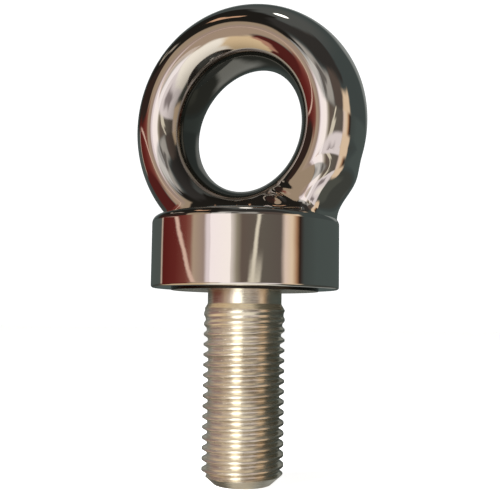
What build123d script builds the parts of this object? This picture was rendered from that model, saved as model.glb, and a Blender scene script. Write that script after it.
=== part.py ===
from build123d import *
from math import cos, radians, sin, tan
import os

# Shoulder eye bolt, M20 x 2.5. Millimetres. The origin is the centre of the seating face,
# +Z runs up the axis through the ring, and the hole of the ring faces along Y.

# thread and shank
thread_diameter = 20
pitch = 2.5
groove_depth = 0.5413 * pitch
shank_length = 46.6
neck_diameter = 18.2
neck_length = 3.2
end_chamfer = 3.0
end_flat_diameter = 14.4
tooth_overlap = 0.2
seam_angle = 37

# collar
collar_diameter = 46.5
collar_height = 17.8
collar_top_round = 2.0
collar_bottom_round = 0.5

# seat washer, let into the collar's underside
washer_diameter = 36.5
washer_thickness = 2.0
washer_proud = 0.5

# ring
ring_outer_radius = 31.05
ring_hole_radius = 15.9
ring_outer_height = 41.15
ring_hole_height = 40.8
ring_depth = 19.15
ring_depth_taper = 0.2
section_step = 15

# joints
tenon_diameter = 13
tenon_into_ring = 2.5
weld_leg = 2.2
weld_reach = 3.3
pin_diameter = 3
pin_length = 12

collar_radius = collar_diameter / 2
collar_base = washer_proud
collar_top = collar_base + collar_height
crest_radius = thread_diameter / 2
root_radius = crest_radius - groove_depth
neck_radius = neck_diameter / 2
tenon_radius = tenon_diameter / 2
tenon_top = collar_top + tenon_into_ring

os.makedirs("parts", exist_ok=True)


def ring_section(angle):
    """The plane, half width and half depth of the ring's oval section at this angle."""
    turn = radians(angle)
    inner = Vector(ring_hole_radius * cos(turn), 0, ring_hole_height + ring_hole_radius * sin(turn))
    outer = Vector(ring_outer_radius * cos(turn), 0, ring_outer_height + ring_outer_radius * sin(turn))
    across = outer - inner
    plane = Plane(origin=(inner + outer) / 2, x_dir=across, z_dir=across.cross(Vector(0, 1, 0)))
    return plane, across.length / 2, ring_depth / 2 * (1 + ring_depth_taper * sin(turn))


# ring blank: oval sections round half the ring, mirrored, then milled flat to stand on the collar
with BuildPart() as ring_blank:
    for angle in range(-90, 91, section_step):
        plane, half_width, half_depth = ring_section(angle)
        with BuildSketch(plane):
            Ellipse(half_width, half_depth)
    loft()
    mirror(about=Plane.YZ)
    split(bisect_by=Plane((0, 0, collar_top)), keep=Keep.TOP)
foot_size = ring_blank.faces().sort_by(Axis.Z)[0].bounding_box().size

# lock pin: driven down the joint round the tenon, so ring, collar and stud can't turn apart
with BuildPart() as lock_pin:
    with Locations((tenon_radius, 0, tenon_top)):
        Cylinder(pin_diameter / 2, pin_length, align=(Align.CENTER, Align.CENTER, Align.MAX))
lock_pin.part.label = "lock_pin"
export_step(lock_pin.part, "parts/lock_pin.step")

# eye ring: the blank with a blind socket in its foot for the stud's tenon and the pin
with BuildPart() as eye_ring:
    add(ring_blank.part)
    with Locations((0, 0, collar_top)):
        Cylinder(
            tenon_radius, tenon_into_ring,
            align=(Align.CENTER, Align.CENTER, Align.MIN), mode=Mode.SUBTRACT,
        )
    add(lock_pin.part, mode=Mode.SUBTRACT)
eye_ring.part.label = "eye_ring"
export_step(eye_ring.part, "parts/eye_ring.step")

# collar: turned disc, bored for the tenon and recessed below for the washer
with BuildPart() as collar:
    with Locations((0, 0, collar_base)):
        Cylinder(collar_radius, collar_height, align=(Align.CENTER, Align.CENTER, Align.MIN))
    rims = collar.edges().filter_by(GeomType.CIRCLE).sort_by(Axis.Z)
    fillet(rims[-1], radius=collar_top_round)
    fillet(collar.edges().filter_by(GeomType.CIRCLE).sort_by(Axis.Z)[0], radius=collar_bottom_round)
    Cylinder(
        washer_diameter / 2, washer_thickness,
        align=(Align.CENTER, Align.CENTER, Align.MIN), mode=Mode.SUBTRACT,
    )
    Cylinder(
        tenon_radius, collar_top,
        align=(Align.CENTER, Align.CENTER, Align.MIN), mode=Mode.SUBTRACT,
    )
    add(lock_pin.part, mode=Mode.SUBTRACT)
collar.part.label = "collar"
export_step(collar.part, "parts/collar.step")

# foot weld: a bead all round the ring's foot, kept on the flat of the collar's top
with BuildPart() as foot_weld:
    with BuildSketch(Plane((0, 0, collar_top))):
        Ellipse(foot_size.X / 2 + weld_reach, foot_size.Y / 2 + weld_leg)
    with BuildSketch(Plane((0, 0, collar_top + weld_leg))):
        Ellipse(foot_size.X / 2 + weld_reach, foot_size.Y / 2)
    loft(ruled=True)
    with Locations((0, 0, collar_top)):
        Cylinder(
            collar_radius - collar_top_round, weld_leg,
            align=(Align.CENTER, Align.CENTER, Align.MIN), mode=Mode.INTERSECT,
        )
    add(ring_blank.part, mode=Mode.SUBTRACT)
    Cylinder(tenon_radius, 2 * tenon_top, mode=Mode.SUBTRACT)
foot_weld.part.label = "foot_weld"
export_step(foot_weld.part, "parts/foot_weld.step")

# seat washer: a flat ring whose lower face bears on the load
with BuildPart() as seat_washer:
    Cylinder(washer_diameter / 2, washer_thickness, align=(Align.CENTER, Align.CENTER, Align.MIN))
    Cylinder(
        neck_radius, washer_thickness,
        align=(Align.CENTER, Align.CENTER, Align.MIN), mode=Mode.SUBTRACT,
    )
seat_washer.part.label = "seat_washer"
export_step(seat_washer.part, "parts/seat_washer.step")

# screw blank: outside shape of the thread, chamfered into the neck and at the end
with BuildPart() as screw_blank:
    with BuildSketch(Plane.XZ):
        Polygon(
            (0, -neck_length), (neck_radius, -neck_length),
            (crest_radius, neck_radius - crest_radius - neck_length),
            (crest_radius, end_chamfer - shank_length),
            (end_flat_diameter / 2, -shank_length), (0, -shank_length),
            align=None,
        )
    revolve(axis=Axis.Z)

# one turn of the thread: a 60 degree tooth carried round a right-hand helix, a little deep and tall
with BuildPart() as thread_turn:
    with BuildLine():
        helix = Helix(pitch, pitch, root_radius)
    with BuildSketch(Plane(origin=helix @ 0, x_dir=(1, 0, 0), z_dir=helix % 0)):
        base, top = -tooth_overlap, groove_depth + tooth_overlap
        base_half, top_half = (0.375 * pitch - height * tan(radians(30)) for height in (base, top))
        Polygon((base, -base_half), (top, -top_half), (top, top_half), (base, base_half), align=None)
    sweep(path=helix, is_frenet=True)

# the turns that fit the shank, each cut to the outside shape so that its crest is round
turn_count = int((shank_length - neck_length) / pitch) + 1
turns = []
for index in range(turn_count):
    with BuildPart() as cut_turn:
        add(Pos(0, 0, index * pitch - shank_length) * Rot(0, 0, seam_angle) * thread_turn.part)
        add(screw_blank.part, mode=Mode.INTERSECT)
    turns.append(cut_turn.part)

# threaded stud: thread on its core, plain neck, shoulder under the collar and tenon up into the ring
with BuildPart() as threaded_stud:
    add(screw_blank.part)
    Cylinder(root_radius, 2 * shank_length, mode=Mode.INTERSECT)
    add(turns)
    with Locations((0, 0, washer_thickness)):
        Cylinder(
            neck_radius, washer_thickness + neck_length,
            align=(Align.CENTER, Align.CENTER, Align.MAX),
        )
    with Locations((0, 0, tenon_top)):
        Cylinder(
            tenon_radius, tenon_top - washer_thickness,
            align=(Align.CENTER, Align.CENTER, Align.MAX),
        )
    add(lock_pin.part, mode=Mode.SUBTRACT)
threaded_stud.part.label = "threaded_stud"
export_step(threaded_stud.part, "parts/threaded_stud.step")
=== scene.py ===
from math import atan2, cos, exp, hypot, pi, radians, sin, sqrt, tan
import bpy
import bmesh
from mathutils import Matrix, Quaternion, Vector


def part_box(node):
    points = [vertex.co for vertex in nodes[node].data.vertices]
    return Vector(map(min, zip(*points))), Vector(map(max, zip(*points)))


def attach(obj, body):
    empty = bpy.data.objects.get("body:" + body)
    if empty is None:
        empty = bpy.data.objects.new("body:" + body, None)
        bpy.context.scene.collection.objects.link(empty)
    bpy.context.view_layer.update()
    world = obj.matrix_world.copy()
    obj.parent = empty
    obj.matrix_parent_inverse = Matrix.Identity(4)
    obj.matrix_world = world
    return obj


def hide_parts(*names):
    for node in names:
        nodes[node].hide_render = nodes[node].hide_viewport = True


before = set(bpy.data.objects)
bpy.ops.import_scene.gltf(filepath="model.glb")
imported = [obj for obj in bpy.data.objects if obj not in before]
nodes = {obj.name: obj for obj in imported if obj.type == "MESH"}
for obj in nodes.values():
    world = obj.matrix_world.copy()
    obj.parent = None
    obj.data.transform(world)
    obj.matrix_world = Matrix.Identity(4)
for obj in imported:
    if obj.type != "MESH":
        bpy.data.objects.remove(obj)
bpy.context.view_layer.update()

mm = 0.001
print("frame loaded:", ", ".join(sorted(nodes)))


class Flow:  # one socket of a node tree, so that sums read as plain expressions
    def __init__(self, tree, socket=None):
        self.tree, self.socket = tree, socket

    def node(self, kind, settings=None, values=None, output=0):
        made = self.tree.nodes.new(kind)
        for name, value in (settings or {}).items():
            if name == "stops":
                while len(made.color_ramp.elements) < len(value):
                    made.color_ramp.elements.new(0.5)
                for element, (place, colour) in zip(made.color_ramp.elements, value):
                    element.position, element.color = place, (*colour, 1)
            else:
                setattr(made, name, value)
        for name, value in (values or {}).items():
            if isinstance(value, Flow):
                self.tree.links.new(value.socket, made.inputs[name])
            else:
                made.inputs[name].default_value = value
        return Flow(self.tree, made.outputs[output] if made.outputs else None)

    def maths(self, operation, *others):
        return self.node("ShaderNodeMath", {"operation": operation}, dict(enumerate((self, *others))))

    def __add__(self, other):
        return self.maths("ADD", other)

    def __sub__(self, other):
        return self.maths("SUBTRACT", other)

    def __rsub__(self, other):
        return self.maths("MULTIPLY_ADD", -1, other)

    def __mul__(self, other):
        return self.maths("MULTIPLY", other)

    def __truediv__(self, other):
        return self.maths("DIVIDE", other)

    def __rtruediv__(self, other):
        return self.maths("POWER", -1) * other

    __radd__ = __add__
    __rmul__ = __mul__

    def sine(self):
        return self.maths("SINE")

    def cosine(self):
        return self.maths("COSINE")

    def root(self):
        return self.maths("SQRT")

    def size(self):
        return self.maths("ABSOLUTE")

    def atMost(self, other):
        return self.maths("MINIMUM", other)

    def atLeast(self, other):
        return self.maths("MAXIMUM", other)

    def ease(self, start, end):  # 0 at start, 1 at end, soft between
        settings = {"interpolation_type": "SMOOTHSTEP"}
        return self.node("ShaderNodeMapRange", settings, {"Value": self, "From Min": start, "From Max": end})

    def tint(self, low, high):  # the low colour where this is 0, the high one where it is 1
        values = {0: self}
        for place, colour in ((6, low), (7, high)):
            values[place] = colour if isinstance(colour, Flow) else (*colour, 1)
        return self.node("ShaderNodeMix", {"data_type": "RGBA"}, values, 2)

    def feed(self, target):
        self.tree.links.new(self.socket, target)


def shade(red, green, blue):  # a screen colour, 0 to 255, as scene linear
    return tuple(
        part / 12.92 if part < 0.04045 else ((part + 0.055) / 1.055) ** 2.4
        for part in (red / 255, green / 255, blue / 255)
    )


def finishPiece(name, mesh, nodeName):
    piece = bpy.data.objects.new(name, mesh)
    bpy.context.scene.collection.objects.link(piece)
    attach(piece, "root")
    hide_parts(nodeName)
    return piece


def meshFrom(name, bm, material):
    bmesh.ops.recalc_face_normals(bm, faces=bm.faces)
    for face in bm.faces:
        face.smooth = True
    mesh = bpy.data.meshes.new(name)
    bm.to_mesh(mesh)
    bm.free()
    mesh.materials.append(material)
    return mesh


def sharpen(mesh, angle):  # edges that turn by more than this many degrees stay crisp
    mesh.set_sharp_from_angle(angle=radians(angle))
    return mesh


def runTree(name, tree, values):  # evaluates a geometry tree into a plain mesh
    holder = bpy.data.objects.new(name + "Holder", bpy.data.meshes.new(name + "Holder"))
    bpy.context.scene.collection.objects.link(holder)
    modifier = holder.modifiers.new(name, "NODES")
    modifier.node_group = tree
    sockets = {item.name: item.identifier for item in tree.interface.items_tree if item.in_out == "INPUT"}
    for label, value in values.items():
        modifier[sockets[label]] = value
    evaluated = holder.evaluated_get(bpy.context.evaluated_depsgraph_get())
    mesh = bpy.data.meshes.new_from_object(evaluated)
    mesh.name = name
    holder.modifiers.remove(modifier)
    bpy.data.objects.remove(holder)
    return mesh


def newRule(name, values):  # a geometry tree with one named input for each size
    tree = bpy.data.node_groups.new(name, "GeometryNodeTree")
    tree.interface.new_socket("Geometry", in_out="OUTPUT", socket_type="NodeSocketGeometry")
    for label in values:
        tree.interface.new_socket(label, in_out="INPUT", socket_type="NodeSocketFloat")
    flow = Flow(tree)
    entry = flow.node("NodeGroupInput").socket.node
    return flow, {label: Flow(tree, entry.outputs[label]) for label in values}


mergeGap = 0.002 * mm  # points closer than this become one, at a grid's seam and ends


def bendGrid(flow, columns, rows, place, material):  # bends a flat grid to the rule and ends the tree
    shape = flow.node("GeometryNodeMeshGrid", None, {
        "Size X": 1.0, "Size Y": 1.0, "Vertices X": columns, "Vertices Y": rows,
    })
    flat = flow.node("GeometryNodeInputPosition")
    across = flow.node("ShaderNodeSeparateXYZ", None, {0: flat}, "X") + 0.5
    along = flow.node("ShaderNodeSeparateXYZ", None, {0: flat}, "Y") + 0.5
    x, y, z = place(across, along)
    bent = flow.node("ShaderNodeCombineXYZ", None, {"X": x, "Y": y, "Z": z})
    shape = flow.node("GeometryNodeSetPosition", None, {"Geometry": shape, "Position": bent})
    shape = flow.node("GeometryNodeMergeByDistance", None, {"Geometry": shape, "Distance": mergeGap})
    shape = flow.node("GeometryNodeRealizeInstances", None, {"Geometry": shape})
    shape = flow.node("GeometryNodeSetMaterial", None, {"Geometry": shape, "Material": material})
    flow.node("NodeGroupOutput", None, {0: shape})


# polished parts: ring, collar and the bead between them
polish = {
    "colour": shade(238, 234, 230), "roughness": 0.035,
    "waves": 0.07 * mm, "swellScale": 85.0, "rippleScale": 420.0, "ripple": 0.05,
    "haze": 0.05, "hazeScale": 160.0, "hazeFrom": 0.52, "hazeFull": 0.8,
    # the bore colour is painted shade, darker inside the hole; the bore roughness is a duller finish
    "boreShadeColour": shade(160, 156, 150), "boreRoughness": 0.05,
    "boreHeight": 40.8 * mm, "boreStart": 20.5 * mm, "boreFull": 17.0 * mm,
}


def polishedSteel():
    material = bpy.data.materials.new("polishedSteel")
    material.use_nodes = True
    flow = Flow(material.node_tree)
    steel = flow.tree.nodes["Principled BSDF"]
    where = flow.node("ShaderNodeTexCoord", None, None, "Object")
    noise = "ShaderNodeTexNoise"
    swell = flow.node(noise, None, {"Vector": where, "Scale": polish["swellScale"], "Detail": 1.0})
    ripple = flow.node(noise, None, {"Vector": where, "Scale": polish["rippleScale"], "Detail": 2.0})
    cloud = flow.node(noise, None, {"Vector": where, "Scale": polish["hazeScale"], "Detail": 4.0})
    relief = swell + ripple * polish["ripple"]
    x = flow.node("ShaderNodeSeparateXYZ", None, {0: where}, "X")
    z = flow.node("ShaderNodeSeparateXYZ", None, {0: where}, "Z") - polish["boreHeight"]
    # the inside of the hole is harder to reach with the mop, so its finish stays rougher; its darker base
    # colour there is painted shade
    bore = (x * x + z * z).root().ease(polish["boreStart"], polish["boreFull"])
    haze = cloud.ease(polish["hazeFrom"], polish["hazeFull"]) * polish["haze"]
    bump = flow.node("ShaderNodeBump", None, {"Distance": polish["waves"], "Height": relief})
    # painted shade: the base colour turns darker inside the hole
    bore.tint(polish["colour"], polish["boreShadeColour"]).feed(steel.inputs["Base Color"])
    steel.inputs["Metallic"].default_value = 1.0
    (haze + bore * polish["boreRoughness"] + polish["roughness"]).feed(steel.inputs["Roughness"])
    bump.feed(steel.inputs["Normal"])
    return material


# turned parts: stud, seat washer and pin
turned = {
    "bright": shade(238, 231, 216), "dull": shade(204, 190, 170), "metal": 0.93,
    "stainScale": 190.0, "stainFrom": 0.35, "stainFull": 0.75, "stain": 0.7,
    "roughness": 0.18, "lineRoughness": 0.14, "lines": 0.03 * mm, "lineStretch": (90, 90, 4200),
    # the rim colour is painted shade: the washer's outer edge under the collar is painted dark
    "rimShade": shade(58, 54, 48), "rimRadius": 17.9 * mm, "rimFade": 0.2 * mm,
}


def turnedSteel():
    material = bpy.data.materials.new("turnedSteel")
    material.use_nodes = True
    flow = Flow(material.node_tree)
    steel = flow.tree.nodes["Principled BSDF"]
    where = flow.node("ShaderNodeTexCoord", None, None, "Object")
    rings = flow.node("ShaderNodeMapping", None, {"Vector": where, "Scale": turned["lineStretch"]})
    noise = "ShaderNodeTexNoise"
    line = flow.node(noise, None, {"Vector": rings, "Scale": 1.0, "Detail": 3.0})
    stain = flow.node(noise, None, {"Vector": where, "Scale": turned["stainScale"], "Detail": 3.0})
    bump = flow.node("ShaderNodeBump", None, {"Distance": turned["lines"], "Height": line})
    x = flow.node("ShaderNodeSeparateXYZ", None, {0: where}, "X")
    y = flow.node("ShaderNodeSeparateXYZ", None, {0: where}, "Y")
    rimStart = turned["rimRadius"]
    rimShade = (x * x + y * y).root().ease(rimStart, rimStart + turned["rimFade"])  # washer's outer edge, painted dark as painted shade under the collar
    stain = stain.ease(turned["stainFrom"], turned["stainFull"]) * turned["stain"]
    # painted shade: the base colour turns dark at the washer's outer edge
    rimShade.tint(stain.tint(turned["bright"], turned["dull"]), turned["rimShade"]).feed(steel.inputs["Base Color"])
    steel.inputs["Metallic"].default_value = turned["metal"]
    (line * turned["lineRoughness"] + turned["roughness"]).feed(steel.inputs["Roughness"])
    bump.feed(steel.inputs["Normal"])
    return material


polished = polishedSteel()
satin = turnedSteel()
print("finishes made")


# eye ring: an oval section carried round the hole, wider at the top than at the foot
ring = {
    "Hole radius": 15.9 * mm, "Hole height": 40.8 * mm,
    "Outer radius": 31.03 * mm, "Outer height": 41.15 * mm,
    "Depth": 19.12 * mm, "Depth taper": 0.2,
}
ringColumns = 321  # points round the ring, then round its section
ringRows = 121
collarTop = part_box("collar")[1].z


def ringRule():
    flow, size = newRule("ringRule", ring)

    def place(across, along):
        turn, section = across * (2 * pi), along * (2 * pi)
        share = section.cosine() * 0.5 + 0.5  # 0 at the hole, 1 at the outside
        radius = size["Hole radius"] + share * (size["Outer radius"] - size["Hole radius"])
        centre = size["Hole height"] + share * (size["Outer height"] - size["Hole height"])
        depth = size["Depth"] * 0.5 * (1 + size["Depth taper"] * turn.sine())
        return radius * turn.cosine(), depth * section.sine(), centre + radius * turn.sine()

    bendGrid(flow, ringColumns, ringRows, place, polished)
    return flow.tree


def cutFlat(mesh, height):  # mills the ring's foot to the collar's top
    bm = bmesh.new()
    bm.from_mesh(mesh)
    everything = list(bm.verts) + list(bm.edges) + list(bm.faces)
    bmesh.ops.bisect_plane(bm, geom=everything, plane_co=(0, 0, height), plane_no=(0, 0, 1), clear_inner=True)
    bmesh.ops.holes_fill(bm, edges=[edge for edge in bm.edges if edge.is_boundary])
    return bm


ringBlank = runTree("eyeRing", ringRule(), ring)
ringMesh = meshFrom("eyeRing", cutFlat(ringBlank, collarTop), polished)
eyeRing = finishPiece("eyeRing", ringMesh, "eye_ring")
print("eye ring made:", len(eyeRing.data.polygons), "faces")


# collar and seat washer, turned from a profile of radius and height;
# a guard is a short flat beside a round, which keeps the shading of the flat even
collar = {
    "radius": 23.24 * mm, "bore": 6.5 * mm, "guard": 0.12 * mm,
    "topRound": 2.0 * mm, "topSteps": 16, "bottomRound": 0.6 * mm, "bottomSteps": 8,
}
washer = {
    "radius": 18.25 * mm, "top": 2.0 * mm, "bore": 9.1 * mm,
    "edge": 0.12 * mm, "edgeSteps": 5, "sideGuard": 0.05 * mm, "faceGuard": 0.24 * mm,
}
turnedSides = 360
crispAngle = 50
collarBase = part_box("collar")[0].z


def arc(cx, cz, radius, start, end, steps):  # round stretch of a profile, angles in degrees
    spread = [radians(start + (end - start) * i / steps) for i in range(steps + 1)]
    return [(cx + radius * cos(a), cz + radius * sin(a)) for a in spread]


def joinRows(bm, rows):  # faces between each closed row of points and the next, all the way round
    for here, there in zip(rows, rows[1:] + rows[:1]):
        for j in range(len(here)):
            k = (j + 1) % len(here)
            bm.faces.new((here[j], here[k], there[k], there[j]))


def turnProfile(name, profile, material):
    bm = bmesh.new()
    rows = []
    for i in range(turnedSides):
        a = 2 * pi * i / turnedSides
        rows.append([bm.verts.new((r * cos(a), r * sin(a), z)) for r, z in profile])
    joinRows(bm, rows)
    return sharpen(meshFrom(name, bm, material), crispAngle)


def collarProfile():
    r, top, low, guard = collar["radius"], collar["topRound"], collar["bottomRound"], collar["guard"]
    return [
        (collar["bore"], collarTop), (r - top - guard, collarTop),
        *arc(r - top, collarTop - top, top, 90, 0, collar["topSteps"]),
        (r, collarTop - top - guard), (r, collarBase + low + guard),
        *arc(r - low, collarBase + low, low, 0, -90, collar["bottomSteps"]),
        (r - low - guard, collarBase), (washer["radius"] + guard, collarBase), (washer["radius"], collarBase),
        (washer["radius"], washer["top"]), (collar["bore"], washer["top"]),
    ]


def washerProfile():
    r, edge = washer["radius"], washer["edge"]
    return [
        (washer["bore"], washer["top"]), (r, washer["top"]), (r, edge + washer["sideGuard"]),
        *arc(r - edge, edge, edge, 0, -90, washer["edgeSteps"]),
        (r - edge - washer["faceGuard"], 0), (washer["bore"] + edge, 0), (washer["bore"], 0),
    ]


collarMesh = turnProfile("collarBody", collarProfile(), polished)
collarBody = finishPiece("collarBody", collarMesh, "collar")
washerMesh = turnProfile("seatDisc", washerProfile(), satin)
seatDisc = finishPiece("seatDisc", washerMesh, "seat_washer")
print("collar and seat washer made")


# weld between ring and collar, ground to a smooth hollow; its leg lies on the collar and its rise is up
# the ring, and on the right it starts at the collar's edge and swells
bead = {
    "leg": 2.4 * mm, "rise": 3.6 * mm, "leftLeg": 1.3 * mm, "leftRise": 2.6 * mm,
    "rightStart": 0.15, "rightSpan": 0.75,  # how far right the bead faces where its run-up starts and grows
    "rightReach": 22.85 * mm, "rightRise": 14.5 * mm, "rightLift": 95, "rightSwell": 1.6 * mm,
    "stopWidth": 5.0 * mm, "stopRise": 3.8 * mm, "stopLeg": 1.6 * mm,  # thicker in front, at its stop
    "lumpPlace": (12.4 * mm, -8.2 * mm, 22.4 * mm), "lumpSpread": 3.0 * mm, "lump": 0.9 * mm,
    "ridges": (0.8, 1.7),  # radians for each millimetre across and up
    "unevenness": 0.03 * mm, "unevenWaves": (1.3, 1.1, 0.9), "unevenStart": 0.7,
    "outward": 0.7,  # share of a swelling that goes outward, and the same upward
    "handle": 0.4,  # how far the curve keeps its direction at each end, as a share of its span
    "sink": 1.2 * mm, "crownDrop": 0.1 * mm, "toeDrop": 0.4 * mm,  # how deep its back lies in ring and collar
    "steps": 24, "count": 360,
}
roundLimit = 0.97  # the collar's round is followed until it is almost upright
probe = 0.05 * mm
justAbove = collarTop + 0.001 * mm
outlineSearch = (1 * mm, 30 * mm)  # where the ring's edge is looked for, from the axis
footSearch = (-6 * mm, 8 * mm)  # and from a point of that outline, level with it and higher up
crownSearch = (-14 * mm, 14 * mm)
halvings = 36


def halfDepth(x, z):  # half the ring's depth at this place, below zero where the ring isn't
    hole, low = ring["Hole radius"], ring["Hole height"]
    dr, dz = ring["Outer radius"] - hole, ring["Outer height"] - low
    a = dz * dz - dr * dr
    b = -2 * ((z - low) * dz + hole * dr)
    c = x * x + (z - low) ** 2 - hole * hole
    share = (-b - sqrt(max(b * b - 4 * a * c, 0))) / (2 * a)  # 0 at the hole, 1 at the outside
    side = 1 - (2 * share - 1) ** 2
    centre = low + share * dz
    lean = (z - centre) / max(hypot(x, z - centre), 1e-9)  # sine of the angle round the ring
    return 0.5 * ring["Depth"] * (1 + ring["Depth taper"] * lean) * sqrt(side) if side > 0 else -1


def edgeOut(x, y, nx, ny, z, near, far):  # how far out along the normal the ring ends at this height
    for _ in range(halvings):
        middle = (near + far) / 2
        if halfDepth(x + nx * middle, z) > abs(y + ny * middle):
            near = middle
        else:
            far = middle
    return (near + far) / 2


def collarFall(radius):  # height and slope of the collar's top at this distance from the axis
    topRound = collar["topRound"]
    over = min(max(radius - (collar["radius"] - topRound), 0), roundLimit * topRound)
    rise = sqrt(topRound ** 2 - over ** 2)
    return collarTop - topRound + rise, -over / rise


def beadSwell(px, py, up):  # lumps at the bead's stop, and a slight unevenness all round
    cx, cy, cz = bead["lumpPlace"]
    near = hypot(px - cx, py - cy, up - cz) / bead["lumpSpread"]
    ridgeAcross, ridgeUp = bead["ridges"]
    ridges = 0.5 + 0.5 * sin(ridgeAcross * px / mm + ridgeUp * up / mm)
    waveX, waveY, waveUp = bead["unevenWaves"]
    wave = sin(waveX * px / mm + bead["unevenStart"]) * cos(waveY * py / mm + waveUp * up / mm)
    return bead["lump"] * exp(-near * near) * ridges + bead["unevenness"] * wave


def beadRow(x, y, nx, ny):  # points from the collar up to the ring, on one plane through the bead
    right = min(max((nx - bead["rightStart"]) / bead["rightSpan"], 0), 1)
    right = right * right * (3 - 2 * right)
    left = max(0, -nx) ** 2
    rise = bead["rise"]
    rise += (bead["rightRise"] - bead["rise"]) * right + (bead["leftRise"] - bead["rise"]) * left
    start = edgeOut(x, y, nx, ny, justAbove, *footSearch)
    toe = start + bead["leg"] + (bead["leftLeg"] - bead["leg"]) * left
    if y < 0:
        stop = exp(-(((x - bead["lumpPlace"][0]) / bead["stopWidth"]) ** 2)) * (1 - right)
        rise, toe = rise + bead["stopRise"] * stop, toe + bead["stopLeg"] * stop
    # out to a circle just inside the collar's edge
    far = -(x * nx + y * ny) + sqrt(bead["rightReach"] ** 2 - (x * ny - y * nx) ** 2)
    toe = min(toe + (far - toe) * right, far)
    radius = hypot(x + nx * toe, y + ny * toe)
    toeHeight, fall = collarFall(radius)
    fall *= (nx * (x + nx * toe) + ny * (y + ny * toe)) / radius
    top = collarTop + rise
    crown = edgeOut(x, y, nx, ny, top, *crownSearch)
    lean = (edgeOut(x, y, nx, ny, top + probe, *crownSearch) - crown) / probe
    handle = bead["handle"] * hypot(crown - toe, top - toeHeight)
    lift = atan2(-fall, 1) + (radians(bead["rightLift"]) - atan2(-fall, 1)) * right
    firstOut, firstUp = toe - handle * cos(lift), toeHeight + handle * sin(lift)
    lastOut, lastUp = crown - handle * lean / hypot(lean, 1), top - handle / hypot(lean, 1)
    row = []
    for j in range(bead["steps"] + 1):
        t = j / bead["steps"]
        w = ((1 - t) ** 3, 3 * t * (1 - t) ** 2, 3 * t * t * (1 - t), t ** 3)
        out = w[0] * toe + w[1] * firstOut + w[2] * lastOut + w[3] * crown
        up = w[0] * toeHeight + w[1] * firstUp + w[2] * lastUp + w[3] * top
        out += bead["rightSwell"] * right * sin(pi * t) ** 2
        px, py = x + nx * out, y + ny * out
        swell = bead["outward"] * beadSwell(px, py, up) * sin(pi * t)  # nothing at the toe and the crown
        row.append((px + nx * swell, py + ny * swell, up + swell))
    sink, crownBack, toeBack = bead["sink"], top - bead["crownDrop"], collarTop - bead["toeDrop"]
    for out, up in ((crown - sink, crownBack), (start - sink, toeBack)):
        row.append((x + nx * out, y + ny * out, up))
    return row


def beadMesh():
    count = bead["count"]
    outline = []
    for i in range(count):
        a = 2 * pi * i / count
        reach = edgeOut(0, 0, cos(a), sin(a), justAbove, *outlineSearch)
        outline.append((reach * cos(a), reach * sin(a)))
    bm = bmesh.new()
    rows = []
    for i, (x, y) in enumerate(outline):
        ahead, behind = outline[(i + 1) % count], outline[i - 1]
        run = Vector((ahead[0] - behind[0], ahead[1] - behind[1])).normalized()
        rows.append([bm.verts.new(point) for point in beadRow(x, y, run.y, -run.x)])
    joinRows(bm, rows)
    return sharpen(meshFrom("footBead", bm, polished), crispAngle)


footBead = finishPiece("footBead", beadMesh(), "foot_weld")
print("foot weld made")


# threaded stud: rows of a grid follow the helix, so one rule gives neck, thread and chamfer
stud = {
    "Crest radius": 10.0 * mm, "Pitch": 2.5 * mm, "Crest half width": 0.26 * mm, "Groove depth": 1.2 * mm,
    "Root round": 0.25 * mm, "First depth": 0.15, "Run out": 12.0 * mm, "Crest height": 2.85 * mm,
    "Neck radius": 9.15 * mm, "Neck slope": 0.6, "Neck bottom": -3.2 * mm, "Shoulder": 2.0 * mm,
    "End height": -46.6 * mm, "End radius": 7.1 * mm, "End chamfer": 2.6 * mm,
}
studColumns = 121
rowsPerTurn = 32
turns = 22
flankSlope = tan(radians(60))
threadAngle = 65  # crisp edges of the stud turn by more than this


def threadRule():
    flow, size = newRule("threadRule", stud)
    pitch, crest = size["Pitch"], size["Crest radius"]

    def place(across, along):
        turn = across * (2 * pi)
        z = size["Crest height"] + pitch * (across + along * turns - turns)
        held = z.atLeast(size["End height"]).atMost(size["Shoulder"])  # rows past either end fold on to it
        gap = ((along * turns + 0.5).maths("FRACT") - 0.5).size() * pitch  # from the crest's middle
        flank = (gap - size["Crest half width"]).atLeast(0) * flankSlope
        groove = flank.maths("SMOOTH_MIN", size["Groove depth"], size["Root round"])
        fade = held.ease(size["Neck bottom"], size["Neck bottom"] - size["Run out"])
        tooth = crest - groove * (size["First depth"] + fade * (1 - size["First depth"]))
        taper = (crest - size["End radius"]) / size["End chamfer"]
        chamfer = size["End radius"] + (held - size["End height"]) * taper
        neck = size["Neck radius"] + (size["Neck bottom"] - held).atLeast(0) * size["Neck slope"]
        radius = tooth.atMost(chamfer).atMost(neck)
        return radius * turn.cosine(), radius * turn.sine(), held

    bendGrid(flow, studColumns, turns * rowsPerTurn + 1, place, satin)
    return flow.tree


def studMesh():
    bm = bmesh.new()
    bm.from_mesh(runTree("threadedStud", threadRule(), stud))
    bmesh.ops.holes_fill(bm, edges=[edge for edge in bm.edges if edge.is_boundary])
    return sharpen(meshFrom("threadedStud", bm, satin), threadAngle)


threadedStud = finishPiece("threadedStud", studMesh(), "threaded_stud")
print("threaded stud made:", len(threadedStud.data.polygons), "faces")

for slot in nodes["lock_pin"].material_slots:
    slot.material = satin
print("lock pin finished")


# camera, floor and light
eye = {
    "place": (86.54 * mm, -170.37 * mm, -6.57 * mm), "aim": (1.39 * mm, -0.22 * mm, 10.22 * mm),
    "roll": 0.014, "lens": 55.33, "sensor": 36, "nearest": 0.01,
}
facing = atan2(eye["place"][1], eye["place"][0])


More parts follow.
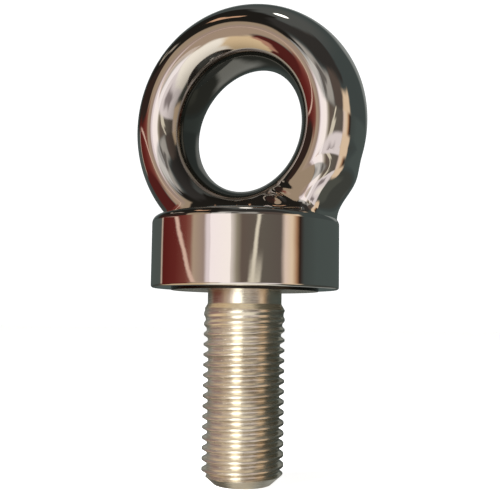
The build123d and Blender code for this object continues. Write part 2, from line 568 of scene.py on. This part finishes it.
def addCamera():
    camera = bpy.data.objects.new("camera", bpy.data.cameras.new("camera"))
    bpy.context.scene.collection.objects.link(camera)
    camera.location = eye["place"]
    look = (Vector(eye["aim"]) - Vector(eye["place"])).to_track_quat("-Z", "Y")
    camera.rotation_mode = "QUATERNION"
    camera.rotation_quaternion = look @ Quaternion((0, 0, 1), eye["roll"])
    camera.data.lens = eye["lens"]
    camera.data.sensor_width = eye["sensor"]
    camera.data.clip_start = eye["nearest"]
    bpy.context.scene.camera = camera


paper = {"radius": 3, "sides": 96, "below": 0.05 * mm, "tone": 0.9, "roughness": 0.9, "glow": 0.9}


def paleFloor():
    bm = bmesh.new()
    bmesh.ops.create_circle(bm, cap_ends=True, segments=paper["sides"], radius=paper["radius"])
    for vert in bm.verts:
        vert.co.z = stud["End height"] - paper["below"]
    mesh = bpy.data.meshes.new("floor")
    bm.to_mesh(mesh)
    bm.free()
    floor = bpy.data.objects.new("floor", mesh)
    bpy.context.scene.collection.objects.link(floor)
    paint = bpy.data.materials.new("palePaper")
    paint.use_nodes = True
    surface = paint.node_tree.nodes["Principled BSDF"]
    surface.inputs["Base Color"].default_value = (paper["tone"], paper["tone"], paper["tone"], 1)
    surface.inputs["Roughness"].default_value = paper["roughness"]
    surface.inputs["Emission Color"].default_value = (1, 1, 1, 1)
    surface.inputs["Emission Strength"].default_value = paper["glow"]
    mesh.materials.append(paint)
    floor.visible_glossy = False
    floor.visible_diffuse = False


lamps = {
    # degrees right of the viewer, degrees up, distance, width and height in metres, watts, tone, kind:
    # a soft lamp isn't mirrored, a mirrored one is, and the stud's lights nothing else
    "key": (-58, 20, 0.55, 0.30, 0.30, 11.0, (1, 1, 1), "soft"),
    "window": (-29, 0, 0.60, 0.26, 0.56, 0.10, (1, 1, 1), "mirrored"),
    "glint": (-21, 0, 0.60, 0.27, 0.80, 1.15, (0.97, 1, 0.93), "stud"),
}


def addLamps():
    studOnly = bpy.data.collections.new("studOnly")
    studOnly.objects.link(threadedStud)
    for name, (side, lift, away, width, height, power, tone, kind) in lamps.items():
        data = bpy.data.lights.new(name, "AREA")
        data.shape, data.size, data.size_y, data.energy, data.color = "RECTANGLE", width, height, power, tone
        lamp = bpy.data.objects.new(name, data)
        bpy.context.scene.collection.objects.link(lamp)
        a, e = facing + radians(side), radians(lift)
        lamp.location = away * Vector((cos(a) * cos(e), sin(a) * cos(e), sin(e)))
        lamp.rotation_euler = (-lamp.location).to_track_quat("-Z", "Y").to_euler()
        lamp.visible_camera = False
        lamp.visible_glossy = kind != "soft"
        if kind == "stud":
            lamp.light_linking.receiver_collection = studOnly


room = {  # what the polished parts mirror; degrees right of the viewer and up, colours as seen on a screen
    "level": [  # the band at eye height, from behind the bolt round to behind it again
        (-180, (72, 80, 78)), (-121.5, (74, 80, 77)), (-119, (204, 184, 166)), (-116.5, (84, 28, 24)),
        (-92, (96, 38, 34)), (-76, (112, 58, 50)), (-69, (128, 84, 72)), (-64, (166, 146, 126)),
        (-50, (148, 130, 120)), (-46, (218, 206, 208)), (-18, (222, 212, 206)), (-10, (140, 132, 116)),
        (-4, (96, 84, 76)), (21, (94, 88, 80)), (42, (90, 82, 76)), (48, (214, 194, 180)),
        (57, (216, 194, 166)), (63, (160, 122, 92)), (67, (44, 24, 16)), (74, (64, 70, 68)),
        (95, (70, 78, 76)), (180, (72, 80, 78)),
    ],
    "levelMiddle": 3.5, "levelFade": (9, 5.5), "strength": 1.15,
    "high": (62, 69, 68),
    "layers": [  # where each starts and is full, and its colour
        (45, 75, (78, 80, 78)), (-4, -14, (60, 62, 58)), (-58, -68, (205, 200, 186)),
    ],
    "overhead": (85, 87, (400, 396, 384)),
    "drift": 18, "driftScale": 2.6,  # how far panels wander from straight edges
    "panels": [  # left, right, bottom, top, softness, colour, degrees that it slants for each degree up
        (-128, 45, -95, -26, 14, (236, 230, 218), 0),
        (-132, -58, -62, -24, 12, (206, 182, 146), 0),
        (-30, 48, -34, 0, 9, (214, 205, 205), 0),
        (-72, -32, -34, 0, 9, (158, 138, 120), 0),
        (-124, -74, -28, 14, 5, (78, 32, 29), 0),
        (-106, -78, -31, -24, 4, (170, 126, 106), 0),
        (46, 72, -24, 26, 8, (214, 190, 162), 0),
        (42, 100, -64, -24, 12, (74, 76, 70), 0),
        (-52, 16, 9, 30, 10, (156, 152, 146), 0),
        (-20, -4, 10, 26, 5, (96, 92, 88), 0.6),
        (16, 48, 9, 64, 9, (82, 72, 66), 0),
        (-142, -34, 18, 76, 8, (30, 28, 25), 0),
        (-40, 62, 34, 66, 10, (48, 46, 44), 0),
        (-79, -46, 6, 25, 6, (152, 134, 114), 0),
        (-136, -76, 11, 27, 5, (46, 34, 30), 0),
        (-2, 24, -26, -12, 10, (132, 122, 122), 0),
        (-88, -60, 48, 54, 2, (196, 156, 126), 0.4),
        (-128, -92, 34, 37, 2, (150, 140, 128), 0),
        (146, 205, -68, -16, 16, (150, 152, 148), 0),
        (-205, -165, -68, -16, 16, (150, 152, 148), 0),
        (140, 205, 14, 40, 12, (128, 132, 130), 0),
        (-205, -160, 14, 40, 12, (128, 132, 130), 0),
    ],
    "streaks": [  # over the level band, in the same order
        (-71, -65, -6, 12, 4, (208, 176, 160), -5.4),
        (6.5, 10.5, -6, 12, 3, (214, 206, 188), 1.4),
        (-2, 12, -6, 3.6, 4, (204, 196, 178), 1.4),
    ],
}


def patch(side, lift, west, east, south, north, soft, slant):  # a soft panel in the room
    middle = (south + north) / 2
    across = (side - (lift - middle) * slant - (west + east) / 2).size()
    upward = (lift - middle).size()
    wide, tall = (east - west) / 2, (north - south) / 2
    return across.ease(wide + soft / 2, wide - soft / 2) * upward.ease(tall + soft / 2, tall - soft / 2)


def addRoom():
    world = bpy.data.worlds.new("studio")
    bpy.context.scene.world = world
    world.use_nodes = True
    world.node_tree.nodes.clear()
    flow = Flow(world.node_tree)
    way = flow.node("ShaderNodeTexCoord", None, None, "Generated")
    x, y, z = (flow.node("ShaderNodeSeparateXYZ", None, {0: way}, axis) for axis in "XYZ")
    right = y * cos(facing) - x * sin(facing)
    front = x * cos(facing) + y * sin(facing)
    side = right.maths("ARCTAN2", front) * (180 / pi)
    lift = z.maths("ARCSINE") * (180 / pi)
    cloud = flow.node("ShaderNodeTexNoise", None, {"Vector": way, "Scale": room["driftScale"], "Detail": 2.0})
    drift = (cloud - 0.5) * room["drift"]
    bent, raised = side + drift, lift - drift
    colour = shade(*room["high"])
    for start, full, paint in room["layers"]:
        colour = lift.ease(start, full).tint(colour, shade(*paint))
    for *place, paint, slant in room["panels"]:
        colour = patch(bent, raised, *place, slant).tint(colour, shade(*paint))
    stops = [((place + 180) / 360, shade(*paint)) for place, paint in room["level"]]
    level = flow.node("ShaderNodeValToRGB", {"stops": stops}, {0: (side + 180) / 360})
    for *place, paint, slant in room["streaks"]:
        level = patch(side, lift, *place, slant).tint(level, shade(*paint))
    colour = (lift - room["levelMiddle"]).size().ease(*room["levelFade"]).tint(colour, level)
    start, full, paint = room["overhead"]
    colour = lift.ease(start, full).tint(colour, shade(*paint))
    seen = flow.node("ShaderNodeLightPath", None, None, "Is Camera Ray")
    colour = seen.tint(colour, (1, 1, 1))
    light = flow.node("ShaderNodeBackground", None, {"Color": colour, "Strength": room["strength"]})
    flow.node("ShaderNodeOutputWorld", None, {"Surface": light})


addCamera()
paleFloor()
addLamps()
addRoom()
bpy.context.scene.view_settings.view_transform = "Standard"
print("camera, floor and light made")
